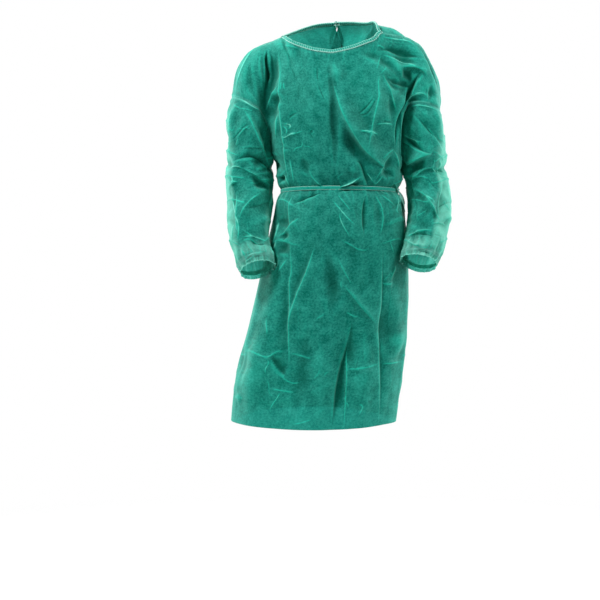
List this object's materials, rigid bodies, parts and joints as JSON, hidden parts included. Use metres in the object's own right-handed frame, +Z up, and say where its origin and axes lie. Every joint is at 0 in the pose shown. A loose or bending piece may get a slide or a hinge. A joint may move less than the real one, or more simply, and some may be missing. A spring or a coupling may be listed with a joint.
{
  "type": "protective gown",
  "caption": "Thin hollow non-woven gown with long sleeves, gathered wrists, bound neck, lapped open back and tied waist tape, in worn form.",
  "frame": {"origin": "where the wearer's shoulders hold the gown, between the shoulders at the middle of its depth", "axes": "+Z up along the gown's length, the front faces -Y, the wearer's left is at +X"},
  "size_m": [0.5612, 0.298, 1.0263],
  "materials": {
    "nonwoven_green": "matte",
    "binding_green": "matte",
    "tape_green": "matte"
  },
  "bodies": {
    "root": {"front_panel": "nonwoven_green", "back_panel_right": "nonwoven_green", "back_panel_left": "nonwoven_green", "sleeve_right": "nonwoven_green", "sleeve_left": "nonwoven_green", "cuff_right": "nonwoven_green", "cuff_left": "nonwoven_green", "neck_binding": "binding_green", "neck_knot": "binding_green", "waist_tie_right": "tape_green", "waist_tie_left": "tape_green", "waist_knot": "tape_green"}
  },
  "joints": []
}
